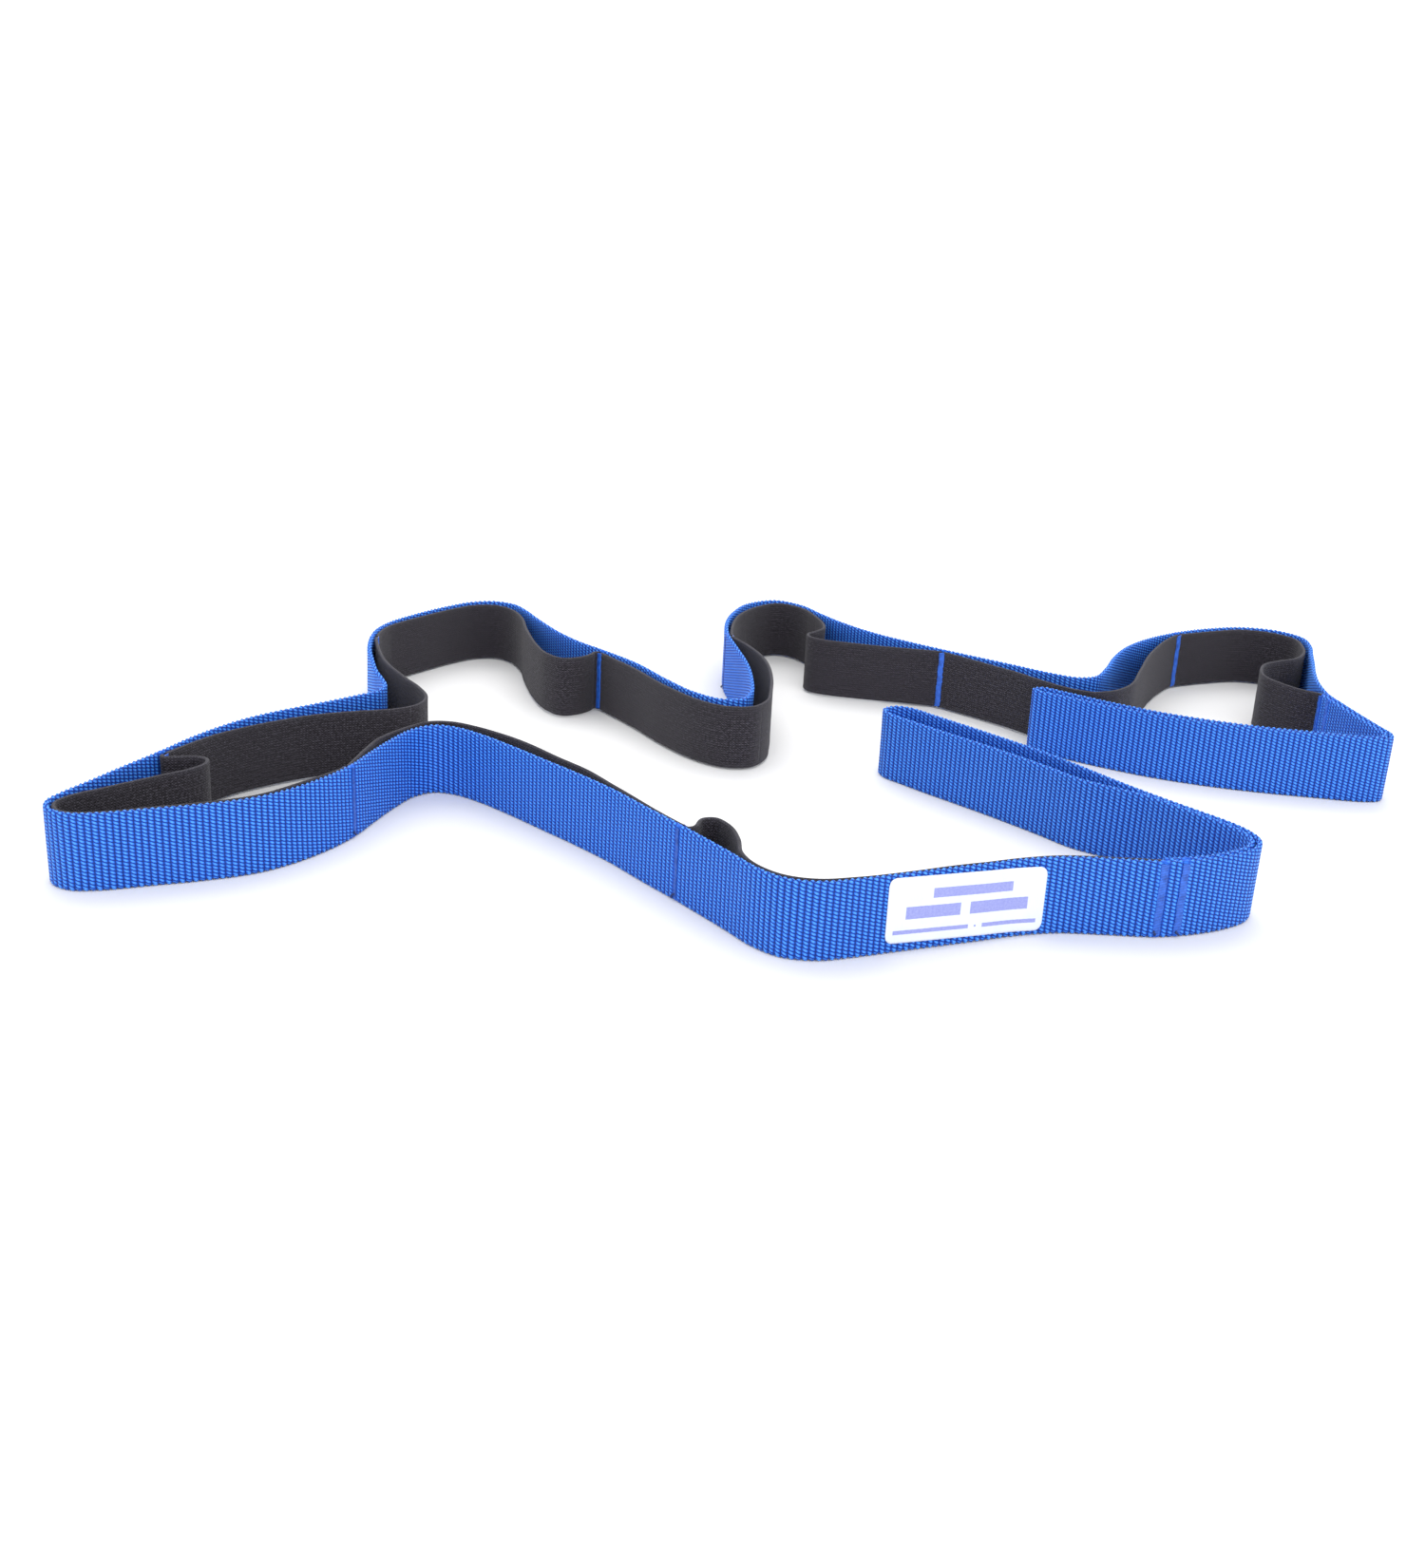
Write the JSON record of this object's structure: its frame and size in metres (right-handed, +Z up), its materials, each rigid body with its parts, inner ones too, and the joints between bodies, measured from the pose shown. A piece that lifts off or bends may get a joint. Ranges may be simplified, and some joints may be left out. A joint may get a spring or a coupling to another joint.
{
  "type": "stretching strap",
  "caption": "Webbing strap with a fold-over handle loop at each end and an elastic band stitched along it in pockets, standing on edge in a curve.",
  "frame": {"origin": "middle of the footprint, on the surface the strap stands on", "axes": "+X along the longest side of the footprint, +Y away from the front section with the label, +Z up across the width of the webbing"},
  "size_m": [0.4504, 0.3118, 0.025],
  "materials": {
    "webbing": "ribbed woven webbing, bright blue with a soft sheen",
    "elastic": "matte charcoal knitted elastic",
    "thread": "satin stitching thread, blue",
    "label": "smooth white woven label"
  },
  "bodies": {
    "handle_a": {"webbing_handle_a": "webbing", "second_row_a": "thread"},
    "pocket_1": {"webbing_pocket_1": "webbing", "elastic_pocket_1": "elastic", "label": "label", "tack_handle_a": "thread"},
    "pocket_2": {"webbing_pocket_2": "webbing", "elastic_pocket_2": "elastic", "tack_1": "thread"},
    "pocket_3": {"webbing_pocket_3": "webbing", "elastic_pocket_3": "elastic", "tack_2": "thread"},
    "pocket_4": {"webbing_pocket_4": "webbing", "elastic_pocket_4": "elastic", "tack_3": "thread"},
    "pocket_5": {"webbing_pocket_5": "webbing", "elastic_pocket_5": "elastic", "tack_4": "thread", "tack_5": "thread"},
    "pocket_6": {"webbing_pocket_6": "webbing", "elastic_pocket_6": "elastic", "tack_6": "thread"},
    "pocket_7": {"webbing_pocket_7": "webbing", "elastic_pocket_7": "elastic", "tack_7": "thread"},
    "pocket_8": {"webbing_pocket_8": "webbing", "elastic_pocket_8": "elastic", "tack_8": "thread"},
    "pocket_9": {"webbing_pocket_9": "webbing", "elastic_pocket_9": "elastic", "tack_handle_b": "thread"},
    "handle_b": {"webbing_handle_b": "webbing", "second_row_b": "thread"}
  },
  "joints": [
    {"name": "bend_tack_4", "type": "hinge", "parent": "pocket_5", "child": "pocket_4", "pos_m": [-0.16689, 0.06658, 0.0125], "axis": [0, 0, -1], "range_deg": [-3, 20]},
    {"name": "bend_tack_3", "type": "hinge", "parent": "pocket_4", "child": "pocket_3", "pos_m": [-0.20588, -0.07842, 0.0125], "axis": [0, 0, -1], "range_deg": [-3, 20]},
    {"name": "bend_tack_2", "type": "hinge", "parent": "pocket_3", "child": "pocket_2", "pos_m": [-0.14389, -0.08242, 0.0125], "axis": [0, 0, -1], "range_deg": [-3, 20]},
    {"name": "bend_tack_1", "type": "hinge", "parent": "pocket_2", "child": "pocket_1", "pos_m": [-0.03788, -0.11842, 0.0125], "axis": [0, 0, -1], "range_deg": [-3, 20]},
    {"name": "bend_handle_a", "type": "hinge", "parent": "pocket_1", "child": "handle_a", "pos_m": [0.10511, -0.12672, 0.0125], "axis": [0, 0, -1], "range_deg": [-3, 20]},
    {"name": "bend_tack_5", "type": "hinge", "parent": "pocket_5", "child": "pocket_6", "pos_m": [-0.07439, 0.06208, 0.0125], "axis": [0, 0, 1], "range_deg": [-3, 20]},
    {"name": "bend_tack_6", "type": "hinge", "parent": "pocket_6", "child": "pocket_7", "pos_m": [-0.02589, 0.09558, 0.0125], "axis": [0, 0, 1], "range_deg": [-3, 20]},
    {"name": "bend_tack_7", "type": "hinge", "parent": "pocket_7", "child": "pocket_8", "pos_m": [0.06312, 0.08858, 0.0125], "axis": [0, 0, 1], "range_deg": [-3, 20]},
    {"name": "bend_tack_8", "type": "hinge", "parent": "pocket_8", "child": "pocket_9", "pos_m": [0.16812, 0.13558, 0.0125], "axis": [0, 0, 1], "range_deg": [-3, 20]},
    {"name": "bend_handle_b", "type": "hinge", "parent": "pocket_9", "child": "handle_b", "pos_m": [0.20911, 0.05408, 0.0125], "axis": [0, 0, 1], "range_deg": [-2, 15]}
  ]
}
